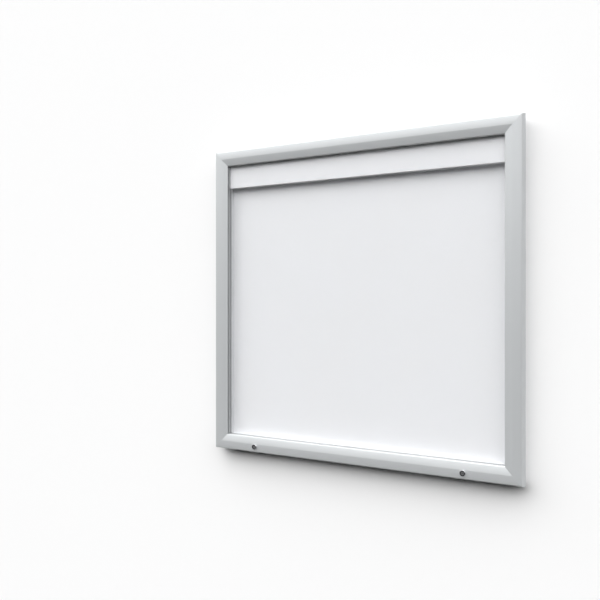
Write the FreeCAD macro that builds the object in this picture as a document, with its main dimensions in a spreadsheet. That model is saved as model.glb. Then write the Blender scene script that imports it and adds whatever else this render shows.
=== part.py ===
"""Lockable wall notice board: mitred aluminium case, lift-up glazed door, two cam locks, two stays.

Row frame: origin at the centre of the back face, X to the right, Z up, Y into the wall.
A depth is a distance in front of the wall, so a point at that depth has y = -depth.
"""
import FreeCAD, Part
import math
import os

import Sketcher

doc = FreeCAD.newDocument("notice_board")
sheet = doc.addObject("Spreadsheet::Sheet", "Sizes")
sub_parts = []


class Length:
    """A size that carries its number and its formula in the sheet."""

    def __init__(self, value, formula):
        self.value = value
        self.formula = formula

    def __add__(self, other):
        other = length(other)
        return Length(self.value + other.value, f"({self.formula} + {other.formula})")

    def __sub__(self, other):
        other = length(other)
        return Length(self.value - other.value, f"({self.formula} - {other.formula})")

    def __mul__(self, other):
        other = length(other)
        return Length(self.value * other.value, f"({self.formula} * {other.formula})")

    def __truediv__(self, other):
        other = length(other)
        return Length(self.value / other.value, f"({self.formula} / {other.formula})")

    def __neg__(self):
        return Length(-self.value, f"(0 - {self.formula})")

    def __radd__(self, other):
        return length(other) + self

    def __rsub__(self, other):
        return length(other) - self

    def __rmul__(self, other):
        return length(other) * self


def length(thing):
    return thing if isinstance(thing, Length) else Length(float(thing), f"{float(thing):.6f}")


def size(alias, value, meaning):
    """Write one driving dimension into the sheet and return it."""
    row = size.rows = getattr(size, "rows", 0) + 1
    sheet.set(f"A{row}", meaning)
    sheet.set(f"B{row}", str(value))
    sheet.setAlias(f"B{row}", alias)
    return Length(float(value), f"Sizes.{alias}")


# Overall sizes
door_width = size("door_width", 778, "width of the door over its flanks")
door_height = size("door_height", 750, "height of the door over its flanks")

# Door rail section, measured inwards from the flank and forwards from the wall
rail_width = size("rail_width", 39, "flank to inner edge of the door rail")
flank_width = size("flank_width", 4, "flank to arris")
ridge_inset = size("ridge_inset", 22, "flank to ridge")
ridge_depth = size("ridge_depth", 36, "wall to ridge")
arris_drop = size("arris_drop", 0.8, "ridge down to arris")
bevel_drop = size("bevel_drop", 4.6, "ridge down to inner edge")
facet_crown = size("facet_crown", 0.2, "rise of the outer facet over its chord")
bevel_crown = size("bevel_crown", 0.35, "rise of the inner bevel over its chord")
arris_radius = size("arris_radius", 2.5, "rounding of the arris")
lip_radius = size("lip_radius", 0.5, "rounding of the inner edge")
door_back = size("door_back", 19.5, "wall to the back of the door")
door_wall = size("door_wall", 1.6, "wall of the door rail")
rebate_inset = size("rebate_inset", 26, "flank to glazing rebate")
lip_back = size("lip_back", 29.8, "wall to the back of the glazing lip")
skin = size("skin", 1.8, "skin of the door rail face")
door_key_leg = size("door_key_leg", 55, "leg of a door corner key")
key_clearance = size("key_clearance", 0.2, "gap round a corner key")

# Glazing
glazing_thickness = size("glazing_thickness", 3, "clear sheet")
gasket_thickness = size("gasket_thickness", 0.8, "strip between lip and sheet")
gasket_width = size("gasket_width", 5.5, "strip between lip and sheet")
gasket_setback = size("gasket_setback", 0.5, "inner edge of the rail to the gasket")
glazing_clearance = size("glazing_clearance", 0.6, "edge of the sheet to the rebate")
bead_wall = size("bead_wall", 1.4, "wall of the glazing bead")
bead_foot = size("bead_foot", 2.5, "foot of the bead on the sheet")
bead_tongue = size("bead_tongue", 0.8, "reach of the bead tongue into the rail")
bead_tongue_width = size("bead_tongue_width", 1.2, "thickness of the bead tongue")
bead_leg = size("bead_leg", 3.7, "back of the door to the front of the bead tongue")
bead_clearance = size("bead_clearance", 0.1, "gap between bead and rail")

# Case rail section
case_inset = size("case_inset", 6, "door flank to the outside of the case")
case_depth = size("case_depth", 17, "wall to the front edge of the case")
case_wall = size("case_wall", 1.8, "upright walls of the case rail")
case_web = size("case_web", 1.6, "webs of the case rail that lie along the wall")
slot_depth = size("slot_depth", 4.2, "panel slot, and the key chamber beside it")
key_chamber = size("key_chamber", 12.2, "width of the key chamber")
case_rib = size("case_rib", 1.6, "rib between chamber and slot")
back_flange = size("back_flange", 3, "reach of the back web past the inner wall")
seal_ledge = size("seal_ledge", 3.5, "width of the ledge that carries the seal")
seal_ledge_thickness = size("seal_ledge_thickness", 1.2, "thickness of that ledge")
groove_width = size("groove_width", 1.2, "shadow groove in the inner wall")
groove_depth = size("groove_depth", 0.8, "shadow groove in the inner wall")
groove_lift = size("groove_lift", 2.4, "display face to the shadow groove")
case_key_leg = size("case_key_leg", 45, "leg of a case corner key")
seal_thickness = size("seal_thickness", 2.2, "height of the weather seal")
seal_margin = size("seal_margin", 0.2, "ledge left bare beside the seal")
seal_radius = size("seal_radius", 0.9, "rounding of the seal")

# Panels
panel_thickness = size("panel_thickness", 1, "white steel display panel")
panel_clearance = size("panel_clearance", 0.4, "panel edge to the end of its slot")
header_height = size("header_height", 55.6, "inner edge of the door to the foot of the header")
header_depth = size("header_depth", 21.5, "wall to the face of the header")
header_sheet = size("header_sheet", 1.2, "sheet of the header")
header_clearance = size("header_clearance", 0.4, "header to the inner walls")
header_top_gap = size("header_top_gap", 1.5, "inner edge of the top rail to the top of the header")
header_radius = size("header_radius", 0.8, "outside bend of the header")
bracket_sheet = size("bracket_sheet", 1.5, "sheet of the small brackets")
header_bracket_height = size("header_bracket_height", 38, "height of a header bracket")
header_bracket_reach = size("header_bracket_reach", 15, "leg behind the header")

# Wall fixing holes
wall_hole_radius = size("wall_hole_radius", 3, "clearance hole for a wall screw")
wall_hole_end = size("wall_hole_end", 89, "door flank to a wall hole, along the rail")
wall_hole_inset = size("wall_hole_inset", 14, "door flank to a wall hole, across the rail")

# Continuous hinge along the top edge
hinge_inset = size("hinge_inset", 2.9, "top of the door down to the hinge axis")
hinge_depth = size("hinge_depth", 13, "wall to the hinge axis")
knuckle_radius = size("knuckle_radius", 2.7, "outside of a knuckle")
pin_radius = size("pin_radius", 1.2, "hinge pin")
running_clearance = size("running_clearance", 0.05, "radial clearance of a turning pin")
leaf_thickness = size("leaf_thickness", 1.2, "hinge leaf")
hinge_end = size("hinge_end", 29, "door flank to the end of the hinge")
knuckle_gap = size("knuckle_gap", 0.3, "end gap between knuckles")
leaf_relief = size("leaf_relief", 0.4, "gap between a leaf and the other leaf's knuckles")
case_leaf_width = size("case_leaf_width", 8, "case leaf on top of the case")
door_leaf_drop = size("door_leaf_drop", 13, "top of the door to the lower edge of the door leaf")
CASE_KNUCKLES = 4
DOOR_KNUCKLES = 3

# Small screws, with six-sided heads and shanks
screw_head_radius = size("screw_head_radius", 2.3, "head across its corners")
screw_head_height = size("screw_head_height", 1.1, "height of the head")
screw_radius = size("screw_radius", 1.2, "shank")
screw_clearance = size("screw_clearance", 0.05, "hole round the shank")
screw_length = size("screw_length", 4, "shank under the head, with its leaf")
hinge_screw_end = size("hinge_screw_end", 90, "door flank to the outermost hinge screw")
HINGE_SCREWS = 4

# Locks in the bottom rail
lock_end = size("lock_end", 125, "door flank to a lock")
lock_inset = size("lock_inset", 15.9, "bottom of the door up to the lock")
lock_head_radius = size("lock_head_radius", 6.5, "lock head")
lock_head_thickness = size("lock_head_thickness", 4.6, "seat to the face of the head")
lock_head_bevel = size("lock_head_bevel", 0.5, "bevel round the face of the head")
lock_seat_drop = size("lock_seat_drop", 0.7, "ridge down to the seat of the head")
lock_barrel_radius = size("lock_barrel_radius", 5.5, "lock barrel")
lock_clearance = size("lock_clearance", 0.1, "gap round the lock in the rail")
lock_barrel_back = size("lock_barrel_back", 14.4, "wall to the back of the barrel")
plug_radius = size("plug_radius", 3.5, "turning plug")
plug_recess = size("plug_recess", 0.4, "plug face behind the head face")
plug_back = size("plug_back", 14, "wall to the back shoulder of the plug")
keyway_width = size("keyway_width", 1, "keyway")
keyway_height = size("keyway_height", 4.6, "keyway")
keyway_depth = size("keyway_depth", 12, "keyway")
nut_thickness = size("nut_thickness", 3, "lock nut")
nut_flats = size("nut_flats", 15, "lock nut across its flats")
cam_thickness = size("cam_thickness", 2, "cam")
cam_length = size("cam_length", 17, "axis to the tip of the cam")
cam_radius = size("cam_radius", 5, "rounded root of the cam")
cam_tip = size("cam_tip", 8, "width of the cam at its tip")
cam_square = size("cam_square", 5, "square on the plug that drives the cam")
cam_screw_radius = size("cam_screw_radius", 1.5, "shank of the cam screw")
cam_screw_length = size("cam_screw_length", 8, "shank of the cam screw")
cam_screw_head = size("cam_screw_head", 3.4, "head of the cam screw across its corners, halved")
keeper_length = size("keeper_length", 40, "keeper along the rail")
keeper_reach = size("keeper_reach", 5.7, "lip of the keeper")

# Door stays
stay_arm_length = size("stay_arm_length", 170, "hinge axis to stay pivot, and pivot to slider")
door_opening = size("door_opening", 80, "largest opening of the door in degrees")
stay_arm_width = size("stay_arm_width", 7, "stay arm")
stay_arm_thickness = size("stay_arm_thickness", 2.5, "stay arm")
stay_arm_inset = size("stay_arm_inset", 14.4, "door flank to the outside of the arm")
stay_pin_radius = size("stay_pin_radius", 2, "pivot pin")
stay_pin_head = size("stay_pin_head", 3.5, "head of the pivot pin across its corners, halved")
stay_pin_head_height = size("stay_pin_head_height", 1.4, "head of the pivot pin")
slider_radius = size("slider_radius", 2.5, "slider in the slot")
slider_head = size("slider_head", 3.6, "head of the slider behind the track")
slider_head_height = size("slider_head_height", 1.6, "head of the slider")
slot_clearance = size("slot_clearance", 0.1, "slider to the sides of the slot")
slot_overrun = size("slot_overrun", 1, "slot past the slider at each end")
track_sheet = size("track_sheet", 2, "standing leg of the track")
track_gap = size("track_gap", 0.4, "track to stay arm")
track_foot = size("track_foot", 10, "foot of the track")
track_foot_sheet = size("track_foot_sheet", 1.5, "foot of the track")
track_end = size("track_end", 8, "track past the slot")
track_screw_inset = size("track_screw_inset", 30, "end of the track to its screw")
stay_bracket_gap = size("stay_bracket_gap", 0.2, "arm to bracket")
stay_bracket_height = size("stay_bracket_height", 30, "foot of the bracket")
stay_bracket_foot = size("stay_bracket_foot", 6.8, "reach of the foot")
stay_bracket_tab = size("stay_bracket_tab", 12, "width of the upright tab")
bracket_screw_pitch = size("bracket_screw_pitch", 18, "between the bracket screws")
doc.recompute()

# Places worked out from the sizes
arris_depth = ridge_depth - arris_drop
lip_depth = ridge_depth - bevel_drop
half_width = door_width / 2
half_height = door_height / 2
web_front = case_web + slot_depth
gutter_floor = web_front + case_web
slot_end = case_inset + case_wall + key_chamber + case_rib
glazing_back = lip_back - gasket_thickness - glazing_thickness
hinge_height = half_height - hinge_inset
hinge_length = door_width - 2 * hinge_end
knuckle_pitch = hinge_length / (CASE_KNUCKLES + DOOR_KNUCKLES)
lock_side = half_width - lock_end
lock_height = lock_inset - half_height
lock_seat_depth = ridge_depth - lock_seat_drop
head_front = lock_seat_depth + lock_head_thickness
wall_hole_side = half_width - wall_hole_end
cut_overrun = length(1)
header_foot = half_height - rail_width - header_height
track_inset = stay_arm_inset - track_gap - track_sheet
tab_inset = stay_arm_inset + stay_arm_thickness + stay_bracket_gap
pivot_height = hinge_height - stay_arm_length
slider_height = pivot_height - stay_arm_length
slider_top = hinge_height - 2 * math.cos(math.radians(door_opening.value)) * stay_arm_length


def plane(body, role):
    """One of the body's own origin planes."""
    return next(part for part in body.Origin.OriginFeatures if part.Role == role)


def new_body(label):
    body = doc.addObject("PartDesign::Body", label)
    body.Label = label
    sub_parts.append(body)
    return body


def new_sketch(body, role, offset=0):
    """A sketch on an origin plane of the body, moved along the plane's normal."""
    sketch = body.newObject("Sketcher::SketchObject", f"{body.Name}_sketch")
    sketch.AttachmentSupport = (plane(body, role), "")
    sketch.MapMode = "FlatFace"
    offset = length(offset)
    sketch.AttachmentOffset = FreeCAD.Placement(FreeCAD.Vector(0, 0, offset.value), FreeCAD.Rotation())
    sketch.setExpression("AttachmentOffset.Base.z", offset.formula)
    return sketch


def hold(sketch, rules):
    """Add constraints in one go. Each rule is (kind, places) or (kind, places, length)."""
    first = sketch.ConstraintCount
    sketch.addConstraint([Sketcher.Constraint(kind, *places, *(target.value for target in targets))
                          for kind, places, *targets in rules])
    for number, (_, _, *targets) in enumerate(rules, first):
        for target in targets:
            sketch.setExpression(f"Constraints[{number}]", target.formula)


def point_rules(geometry, vertex, point):
    """Rules that hold one vertex at a place measured from the sketch origin."""
    origin, vertical_axis, horizontal_axis = -1, -2, -1
    rules = []
    for kind, value, axis in (("DistanceX", point[0], vertical_axis), ("DistanceY", point[1], horizontal_axis)):
        value = length(value)
        if value.value == 0:
            rules.append(("PointOnObject", (geometry, vertex, axis)))
        else:
            rules.append((kind, (origin, 1, geometry, vertex), value))
    return rules


def vector(point):
    return FreeCAD.Vector(length(point[0]).value, length(point[1]).value, 0)


def outline(sketch, corners, bulges=None):
    """A closed outline. bulges maps a corner's number to a point that its next side curves through."""
    bulges = bulges or {}
    first = sketch.GeometryCount
    count = len(corners)
    sides = []
    ends = []
    for number, corner in enumerate(corners):
        start = vector(corner)
        finish = vector(corners[(number + 1) % count])
        if number not in bulges:
            sides.append(Part.LineSegment(start, finish))
            ends.append((1, 2))
            continue
        # A sketch numbers the ends of an arc counter-clockwise, whichever way it was drawn.
        through = vector(bulges[number])
        left_turn = (through - start).cross(finish - through).z > 0
        sides.append(Part.Arc(start, through, finish) if left_turn else Part.Arc(finish, through, start))
        ends.append((1, 2) if left_turn else (2, 1))
    sketch.addGeometry(sides, False)
    rules = []
    for number, corner in enumerate(corners):
        before = (number - 1) % count
        start = ends[number][0]
        rules.append(("Coincident", (first + before, ends[before][1], first + number, start)))
        rules += point_rules(first + number, start, corner)
    for number, through in bulges.items():
        mark = sketch.addGeometry(Part.Point(vector(through)), True)
        rules.append(("PointOnObject", (mark, 1, first + number)))
        rules += point_rules(mark, 1, through)
    hold(sketch, rules)


def rectangle(sketch, low, high):
    outline(sketch, [low, (high[0], low[1]), high, (low[0], high[1])])


def hexagon(sketch, centre, radius, turned=False):
    """A regular hexagon with two corners level with its centre, or above and below it if turned."""
    turn = 30 if turned else 0
    angles = [math.radians(turn + 60 * number) for number in range(6)]
    outline(sketch, [(centre[0] + radius * math.cos(angle), centre[1] + radius * math.sin(angle))
                     for angle in angles])


def screw_hole(sketch, centre, turned=False):
    hexagon(sketch, centre, screw_radius + screw_clearance, turned)


def circle(sketch, centre, radius):
    geometry = sketch.addGeometry(
        Part.Circle(vector(centre), FreeCAD.Vector(0, 0, 1), length(radius).value), False)
    hold(sketch, point_rules(geometry, 3, centre) + [("Radius", (geometry,), length(radius))])


def slot(sketch, centre_line, low, high, radius):
    """A slot with round ends that runs upwards from low to high."""
    bottom = (centre_line, low - radius)
    top = (centre_line, high + radius)
    corners = [(centre_line - radius, low), (centre_line + radius, low),
               (centre_line + radius, high), (centre_line - radius, high)]
    outline(sketch, corners, {0: bottom, 2: top})


def pad(body, sketch, thickness, symmetric=False):
    feature = body.newObject("PartDesign::Pad", f"{body.Name}_pad")
    feature.Profile = sketch
    thickness = length(thickness)
    feature.Length = thickness.value
    feature.setExpression("Length", thickness.formula)
    if symmetric:
        feature.SideType = "Symmetric"
    sketch.Visibility = False
    return feature


def pocket(body, sketch, depth=None, reversed_way=False):
    """Cut the sketch: to a depth, or right through both ways without one."""
    feature = body.newObject("PartDesign::Pocket", f"{body.Name}_pocket")
    feature.Profile = sketch
    if depth is None:
        feature.Type = "ThroughAll"
        feature.SideType = "Symmetric"
    else:
        depth = length(depth)
        feature.Length = depth.value
        feature.setExpression("Length", depth.formula)
        feature.Reversed = reversed_way
    sketch.Visibility = False
    return feature


def mirror(body, originals, role):
    feature = body.newObject("PartDesign::Mirrored", f"{body.Name}_mirror")
    feature.Originals = originals
    feature.MirrorPlane = (plane(body, role), [""])
    body.Tip = feature
    return feature


def repeat(body, originals, axis_role, pitch, count):
    """Copies of the features along an origin axis."""
    axis = next(part for part in body.Origin.OriginFeatures if part.Role == axis_role)
    feature = body.newObject("PartDesign::LinearPattern", f"{body.Name}_pattern")
    feature.Originals = originals
    feature.Direction = (axis, [""])
    feature.Mode = "Spacing"
    pitch = length(pitch)
    feature.Offset = pitch.value
    feature.setExpression("Offset", pitch.formula)
    feature.Occurrences = count
    body.Tip = feature
    return feature


def same(first, second):
    """True where two places agree to a hundredth of a millimetre."""
    hundredth = 0.01
    return abs(first - length(second).value) < hundredth


def round_long_edge(body, depth, inset, radius):
    """Round the edge that runs along a piece at this depth (its Y) and inset (its Z)."""
    doc.recompute()
    base = body.Tip
    names = [f"Edge{number}" for number, edge in enumerate(base.Shape.Edges, 1)
             if same(edge.BoundBox.YMin, depth) and same(edge.BoundBox.YMax, depth)
             and same(edge.BoundBox.ZMin, inset) and same(edge.BoundBox.ZMax, inset)]
    feature = body.newObject("PartDesign::Fillet", f"{body.Name}_round")
    feature.Base = (base, names)
    feature.Radius = radius.value
    feature.setExpression("Radius", radius.formula)


# A rail is drawn as the bottom rail: along X, depth along +Y, inset from the door flank along +Z.
# SIDES gives how each one is turned to its place.
SIDES = {
    "bottom": {"turn": 0, "along": door_width, "shift": ("z", -half_height)},
    "top": {"turn": 180, "along": door_width, "shift": ("z", half_height)},
    "left": {"turn": 90, "along": door_height, "shift": ("x", -half_width)},
    "right": {"turn": -90, "along": door_height, "shift": ("x", half_width)},
}


def place_rail(body, side):
    facing = FreeCAD.Rotation(FreeCAD.Vector(0, 0, 1), 180)
    turned = FreeCAD.Rotation(FreeCAD.Vector(0, 1, 0), SIDES[side]["turn"])
    axis, shift = SIDES[side]["shift"]
    base = FreeCAD.Vector(0, 0, 0)
    setattr(base, axis, shift.value)
    body.Placement = FreeCAD.Placement(base, turned * facing)
    body.setExpression(f"Placement.Base.{axis}", shift.formula)


def mitre(body, side, depth_of_cut):
    """Cut both ends at 45 degrees, from the full length at the flank."""
    sketch = new_sketch(body, "XZ_Plane")
    end = SIDES[side]["along"] / 2
    outline(sketch, [(end + cut_overrun, -cut_overrun),
                     (end + cut_overrun, depth_of_cut),
                     (end - depth_of_cut, depth_of_cut)])
    cut = pocket(body, sketch)
    mirror(body, [cut], "YZ_Plane")


def extrusion(label, side, draw, reach, after=None):
    """A mitred length of one section. draw fills the section sketch with depth and inset."""
    body = new_body(label)
    section = new_sketch(body, "YZ_Plane")
    draw(section)
    pad(body, section, SIDES[side]["along"], symmetric=True)
    if after:
        after(body)
    mitre(body, side, reach)
    place_rail(body, side)
    return body


def rail_holes(body, role, centres, radius, depth=None, offset=0):
    """Round holes drilled in a rail, in its own drawing frame."""
    sketch = new_sketch(body, role, offset)
    for centre in centres:
        circle(sketch, centre, radius)
    return pocket(body, sketch, depth)


def rail_screw_holes(body, role, centres, depth, offset=0, reversed_way=False, turned=False):
    """Holes for the shanks of small screws, in the drawing frame of a rail."""
    sketch = new_sketch(body, role, offset)
    for centre in centres:
        screw_hole(sketch, centre, turned)
    return pocket(body, sketch, depth, reversed_way)


# Door rails
def draw_door_rail(sketch):
    flank_middle = (door_back + arris_depth) / 2
    facet_middle = (arris_depth + ridge_depth) / 2 + facet_crown
    bevel_middle = (ridge_depth + lip_depth) / 2 + bevel_crown
    groove_front = door_back + bead_leg + bead_clearance
    groove_back = groove_front - bead_tongue_width - 2 * bead_clearance
    groove_bottom = rebate_inset - bead_tongue
    outline(sketch, [
        (door_back, 0),
        (arris_depth, flank_width),
        (ridge_depth, ridge_inset),
        (lip_depth, rail_width),
        (lip_back, rail_width),
        (lip_back, rebate_inset),
        (groove_front, rebate_inset),
        (groove_front, groove_bottom),
        (groove_back, groove_bottom),
        (groove_back, rebate_inset),
        (door_back, rebate_inset),
    ], {0: (flank_middle, flank_width / 4),
        1: (facet_middle, (flank_width + ridge_inset) / 2),
        2: (bevel_middle, (ridge_inset + rail_width) / 2)})
    draw_door_chamber(sketch)


def draw_door_chamber(sketch):
    """The hollow of the door rail, with a narrow part behind the bevel."""
    lip_front = lip_back + door_wall
    chamber_edge = rebate_inset - door_wall
    nose = ridge_inset + (rail_width - ridge_inset) / 2
    bevel_fall = bevel_drop / 2
    outline(sketch, [
        (door_back + door_wall, skin),
        (arris_depth - skin, flank_width + skin),
        (ridge_depth - skin, ridge_inset),
        (ridge_depth - skin - bevel_fall, nose),
        (lip_front, nose),
        (lip_front, chamber_edge),
        (door_back + door_wall, chamber_edge),
    ])


def soften_door_rail(body):
    round_long_edge(body, arris_depth, flank_width, arris_radius)
    round_long_edge(body, lip_depth, rail_width, lip_radius)


def drill_lock_seats(body):
    """Holes for the two lock barrels, with a flat seat for each head."""
    centres = [(-lock_side, lock_inset), (lock_side, lock_inset)]
    rail_holes(body, "XZ_Plane", centres, lock_barrel_radius + lock_clearance)
    rail_holes(body, "XZ_Plane", centres, lock_head_radius + lock_clearance,
               depth=ridge_depth, offset=-lock_seat_depth)


def hinge_screw_places(inset):
    first = hinge_screw_end - half_width
    pitch = -2 * first / (HINGE_SCREWS - 1)
    return [(first + pitch * number, inset) for number in range(HINGE_SCREWS)]


hinge_screw_inset = (door_leaf_drop + hinge_inset + knuckle_radius) / 2
case_screw_depth = case_web + slot_depth / 2
bracket_screw_inset = tab_inset + track_sheet + stay_bracket_foot / 2


def drill_door_top(body):
    rail_screw_holes(body, "XZ_Plane", hinge_screw_places(hinge_screw_inset), door_back + 2 * door_wall)


def bracket_screw_heights():
    return [pivot_height - bracket_screw_pitch / 2, pivot_height + bracket_screw_pitch / 2]


def drill_door_side(side):
    """Holes for the stay bracket screws in a side rail."""
    way = {"left": 1, "right": -1}[side]

    def drill(body):
        centres = [(way * height, bracket_screw_inset) for height in bracket_screw_heights()]
        rail_screw_holes(body, "XZ_Plane", centres, door_back + 2 * door_wall, turned=True)
    return drill


def finish_door_rail(drill):
    def after(body):
        soften_door_rail(body)
        drill(body)
    return after


for side, drill in (("top", drill_door_top), ("bottom", drill_lock_seats),
                    ("left", drill_door_side("left")), ("right", drill_door_side("right"))):
    extrusion(f"door_rail_{side}", side, draw_door_rail, rail_width + cut_overrun, finish_door_rail(drill))


# Glazing beads
def draw_bead(sketch):
    """A channel that hooks into the rail and stands on the clear sheet."""
    edge = rebate_inset + bead_clearance
    tongue_front = door_back + bead_leg
    tongue_back = tongue_front - bead_tongue_width
    tongue_end = rebate_inset - bead_tongue + bead_clearance
    outline(sketch, [
        (door_back, rail_width),
        (glazing_back, rail_width),
        (glazing_back, rail_width - bead_foot),
        (glazing_back - bead_wall, rail_width - bead_foot),
        (glazing_back - bead_wall, rail_width - bead_wall),
        (door_back + bead_wall, rail_width - bead_wall),
        (door_back + bead_wall, edge + bead_wall),
        (tongue_front, edge + bead_wall),
        (tongue_front, tongue_end),
        (tongue_back, tongue_end),
        (tongue_back, edge),
        (door_back, edge),
    ])


for side in SIDES:
    extrusion(f"glazing_bead_{side}", side, draw_bead, rail_width + cut_overrun)


# Case rails
def draw_case_rail(sketch):
    """Outer wall, gutter floor, inner wall with the seal ledge, panel slot and back web."""
    inner_face = rail_width
    groove_low = web_front + groove_lift
    outline(sketch, [
        (0, case_inset),
        (case_depth, case_inset),
        (case_depth, case_inset + case_wall),
        (gutter_floor, case_inset + case_wall),
        (gutter_floor, inner_face - case_wall),
        (case_depth - seal_ledge_thickness, inner_face - case_wall),
        (case_depth - seal_ledge_thickness, inner_face - seal_ledge),
        (case_depth, inner_face - seal_ledge),
        (case_depth, inner_face),
        (groove_low + groove_width, inner_face),
        (groove_low + groove_width, inner_face - groove_depth),
        (groove_low, inner_face - groove_depth),
        (groove_low, inner_face),
        (web_front, inner_face),
        (web_front, slot_end),
        (case_web, slot_end),
        (case_web, inner_face + back_flange),
        (0, inner_face + back_flange),
    ])
    rectangle(sketch, (case_web, case_inset + case_wall), (web_front, slot_end - case_rib))


def drill_wall_holes(body):
    centres = [(-wall_hole_side, wall_hole_inset), (wall_hole_side, wall_hole_inset)]
    rail_holes(body, "XZ_Plane", centres, wall_hole_radius)


def drill_case_top(body):
    drill_wall_holes(body)
    centres = [(place, case_screw_depth) for place, _ in hinge_screw_places(0)]
    rail_screw_holes(body, "XY_Plane", centres, case_inset + 2 * case_wall, reversed_way=True)


def keeper_screw_places():
    reach = keeper_length / 4
    return [way * lock_side + step * reach for way in (-1, 1) for step in (-1, 1)]


keeper_screw_depth = (gutter_floor + case_depth - seal_ledge_thickness) / 2
keeper_screw_end = rail_width - case_wall / 4


def drill_case_bottom(body):
    drill_wall_holes(body)
    centres = [(place, keeper_screw_depth) for place in keeper_screw_places()]
    rail_screw_holes(body, "XY_Plane", centres, case_wall * 3 / 4, rail_width - case_wall, reversed_way=True)


track_low = slider_height - slider_radius - slot_overrun - track_end
track_high = slider_top + slider_radius + slot_overrun + track_end
track_screw_heights = [track_low + track_screw_inset, track_high - track_screw_inset]
track_screw_line = track_inset + track_sheet + track_foot * 3 / 4


def drill_case_side(side):
    way = {"left": 1, "right": -1}[side]

    def drill(body):
        centres = [(way * height, track_screw_line) for height in track_screw_heights]
        rail_screw_holes(body, "XZ_Plane", centres, case_web, -gutter_floor, reversed_way=True, turned=True)
    return drill


for side, drill in (("top", drill_case_top), ("bottom", drill_case_bottom),
                    ("left", drill_case_side("left")), ("right", drill_case_side("right"))):
    extrusion(f"case_rail_{side}", side, draw_case_rail, rail_width + back_flange + cut_overrun, drill)


# Corner keys
def corner_keys(label, low, high, leg, depth, thickness):
    """Four angle keys, one in each corner, with the same clearance all round."""
    body = new_body(label)
    sketch = new_sketch(body, "XZ_Plane", depth)
    left = -half_width
    foot = -half_height
    outline(sketch, [
        (left + low, foot + low),
        (left + low + leg, foot + low),
        (left + low + leg, foot + high),
        (left + high, foot + high),
        (left + high, foot + low + leg),
        (left + low, foot + low + leg),
    ])
    key = pad(body, sketch, thickness)
    across = mirror(body, [key], "YZ_Plane")
    up = body.newObject("PartDesign::Mirrored", f"{body.Name}_mirror")
    up.TransformMode = "Whole shape"
    up.MirrorPlane = (plane(body, "XY_Plane"), [""])
    up.BaseFeature = across
    body.Tip = up


corner_keys("case_corner_keys",
            case_inset + case_wall + key_clearance,
            slot_end - case_rib - key_clearance,
            case_key_leg,
            case_web + key_clearance,
            slot_depth - 2 * key_clearance)
corner_keys("door_corner_keys",
            flank_width + skin + key_clearance,
            rebate_inset - door_wall - key_clearance,
            door_key_leg,
            door_back + door_wall + key_clearance,
            lip_back - door_back - door_wall - 2 * key_clearance)


# Flat sheets and rings
def centred(sketch, inset):
    """A rectangle that stays a given inset inside the door's outline."""
    rectangle(sketch, (inset - half_width, inset - half_height), (half_width - inset, half_height - inset))


def sheet_piece(label, inset, depth, thickness):
    body = new_body(label)
    sketch = new_sketch(body, "XZ_Plane", depth)
    centred(sketch, inset)
    pad(body, sketch, thickness)
    return body


def ring_piece(label, outside, inside, depth, thickness):
    body = new_body(label)
    sketch = new_sketch(body, "XZ_Plane", depth)
    centred(sketch, outside)
    centred(sketch, inside)
    pad(body, sketch, thickness)
    return body


panel_inset = slot_end + panel_clearance
sheet_piece("backing_board", panel_inset, case_web, slot_depth - panel_thickness)
sheet_piece("display_panel", panel_inset, web_front - panel_thickness, panel_thickness)
sheet_piece("glazing", rebate_inset + glazing_clearance, glazing_back, glazing_thickness)
gasket_inside = rail_width - gasket_setback
ring_piece("glazing_gasket", gasket_inside - gasket_width, gasket_inside,
           lip_back - gasket_thickness, gasket_thickness)
weather_seal = ring_piece("weather_seal", rail_width - seal_ledge + seal_margin, rail_width - seal_margin,
                          case_depth, seal_thickness)


def front_edges(body, depth):
    """The piece as it is so far, with the names of the edges on its front face."""
    doc.recompute()
    base = body.Tip
    names = [f"Edge{number}" for number, edge in enumerate(base.Shape.Edges, 1)
             if same(edge.BoundBox.YMin, -depth) and same(edge.BoundBox.YMax, -depth)]
    return base, names


def round_front(body, depth, radius):
    chosen = front_edges(body, depth)
    feature = body.newObject("PartDesign::Fillet", f"{body.Name}_round")
    feature.Base = chosen
    feature.Radius = radius.value
    feature.setExpression("Radius", radius.formula)


def bevel_front(body, depth, reach):
    chosen = front_edges(body, depth)
    feature = body.newObject("PartDesign::Chamfer", f"{body.Name}_bevel")
    feature.Base = chosen
    feature.Size = reach.value
    feature.setExpression("Size", reach.formula)


round_front(weather_seal, case_depth + seal_thickness, seal_radius)


# Header, folded from one sheet: a face and a return along its foot
def make_header():
    body = new_body("header_panel")
    sketch = new_sketch(body, "YZ_Plane")
    top = half_height - rail_width - header_top_gap
    outline(sketch, [
        (-web_front, header_foot),
        (-header_depth, header_foot),
        (-header_depth, top),
        (header_sheet - header_depth, top),
        (header_sheet - header_depth, header_foot + header_sheet),
        (-web_front, header_foot + header_sheet),
    ])
    pad(body, sketch, door_width - 2 * rail_width - 2 * header_clearance, symmetric=True)
    round_long_edge(body, -header_depth, header_foot, header_radius)


def make_header_brackets():
    """Two angles on the side walls, behind the ends of the header."""
    body = new_body("header_brackets")
    middle = header_foot + header_height / 2
    low = middle - header_bracket_height / 2
    side_wall = half_width - rail_width
    behind = header_depth - header_sheet
    sketch = new_sketch(body, "XY_Plane", low)
    outline(sketch, [
        (side_wall, -web_front),
        (side_wall, -case_depth),
        (side_wall - header_clearance, -case_depth),
        (side_wall - header_clearance, -behind),
        (side_wall - header_bracket_reach, -behind),
        (side_wall - header_bracket_reach, bracket_sheet - behind),
        (side_wall - bracket_sheet, bracket_sheet - behind),
        (side_wall - bracket_sheet, -web_front),
    ])
    angle = pad(body, sketch, header_bracket_height)
    mirror(body, [angle], "YZ_Plane")


make_header()
make_header_brackets()


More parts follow.
